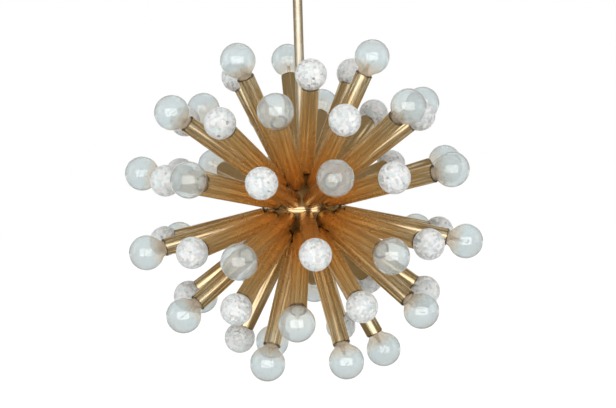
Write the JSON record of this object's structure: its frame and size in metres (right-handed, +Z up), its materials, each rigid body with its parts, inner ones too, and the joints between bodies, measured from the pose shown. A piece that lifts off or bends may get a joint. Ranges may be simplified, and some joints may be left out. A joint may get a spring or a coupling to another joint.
{
  "type": "sputnik chandelier",
  "caption": "Hanging brass sputnik chandelier: a stem carries a small ball from which straight tubes radiate in rings, each ending by turns in a clear round bulb or a crackled glass ball.",
  "frame": {"origin": "centre of the ceiling bracket, midway between its two screw holes, in the plane of the ceiling", "axes": "+Z up into the ceiling, along the stem; +X along the bracket's line of screws; -Y is the side the picture shows"},
  "size_m": [0.4631, 0.4618, 0.6136],
  "materials": {
    "brass_tube": "polished, lightly tarnished",
    "brass_ball": "polished, aged",
    "brass_stem": "polished",
    "clear_glass": "clear",
    "crackle_glass": "crackled",
    "bulb_cap": "thin rolled metal",
    "lampholder": "moulded",
    "zinc_steel": "zinc plated",
    "connector_plastic": "moulded",
    "terminal_plastic": "moulded"
  },
  "bodies": {
    "bracket": {"ceiling_bracket": "zinc_steel", "mains_terminal": "terminal_plastic"},
    "swivel": {"swivel_ball": "zinc_steel"},
    "fixture": {"ring_1_lamp_tubes": "brass_tube", "ring_1_lampholders": "lampholder", "ring_1_bulb_glasses": "clear_glass", "ring_1_bulb_caps": "bulb_cap", "ring_1_crystal_tubes": "brass_tube", "ring_1_crystals": "crackle_glass", "ring_2_lamp_tubes": "brass_tube", "ring_2_lampholders": "lampholder", "ring_2_bulb_glasses": "clear_glass", "ring_2_bulb_caps": "bulb_cap", "ring_2_crystal_tubes": "brass_tube", "ring_2_crystals": "crackle_glass", "ring_3_lamp_tubes": "brass_tube", "ring_3_lampholders": "lampholder", "ring_3_bulb_glasses": "clear_glass", "ring_3_bulb_caps": "bulb_cap", "ring_3_crystal_tubes": "brass_tube", "ring_3_crystals": "crackle_glass", "ring_4_lamp_tubes": "brass_tube", "ring_4_lampholders": "lampholder", "ring_4_bulb_glasses": "clear_glass", "ring_4_bulb_caps": "bulb_cap", "ring_4_crystal_tubes": "brass_tube", "ring_4_crystals": "crackle_glass", "ring_5_lamp_tubes": "brass_tube", "ring_5_lampholders": "lampholder", "ring_5_bulb_glasses": "clear_glass", "ring_5_bulb_caps": "bulb_cap", "ring_5_crystal_tubes": "brass_tube", "ring_5_crystals": "crackle_glass", "ring_6_lamp_tubes": "brass_tube", "ring_6_lampholders": "lampholder", "ring_6_bulb_glasses": "clear_glass", "ring_6_bulb_caps": "bulb_cap", "ring_6_crystal_tubes": "brass_tube", "ring_6_crystals": "crackle_glass", "ball_upper_shell": "brass_ball", "ball_lower_shell": "brass_ball", "tie_rod": "zinc_steel", "tie_nuts": "zinc_steel", "junction_plate": "zinc_steel", "wire_connectors": "connector_plastic", "bottom_finial": "brass_ball", "stem_collar": "brass_stem", "stem": "brass_stem", "swivel_nut": "zinc_steel"},
    "service_bulb": {"service_bulb_glass": "clear_glass", "service_bulb_cap": "bulb_cap"},
    "slip_ring": {"slip_ring": "brass_stem"},
    "canopy": {"canopy": "brass_stem"},
    "thumb_screw": {"thumb_screw": "brass_stem"}
  },
  "joints": [
    {"name": "hang_tilt", "type": "hinge", "parent": "bracket", "child": "swivel", "pos_m": [0, 0, -0.01555], "axis": [1, 0, 0], "range_deg": [-2.5, 2.5]},
    {"name": "stem_swivel", "type": "hinge", "parent": "swivel", "child": "fixture", "pos_m": [0, 0, -0.01555], "axis": [0, 0, 1], "range_deg": [-170, 170]},
    {"name": "service_bulb_draw", "type": "slide", "parent": "fixture", "child": "service_bulb", "axis": [0.2239, -0.4039, -0.887], "range_m": [0, 0.017]},
    {"name": "slip_ring_slide", "type": "slide", "parent": "fixture", "child": "slip_ring", "axis": [0, 0, -1], "range_m": [0, 0.16]},
    {"name": "canopy_slide", "type": "slide", "parent": "fixture", "child": "canopy", "axis": [0, 0, -1], "range_m": [0, 0.16]},
    {"name": "thumb_screw_turn", "type": "hinge", "parent": "slip_ring", "child": "thumb_screw", "pos_m": [0, -0.008, -0.0663], "axis": [0, -1, 0], "range_deg": [0, 720]}
  ],
  "couplings": [
    {"joint": "canopy_slide", "follows": "slip_ring_slide", "ratio": 1}
  ]
}
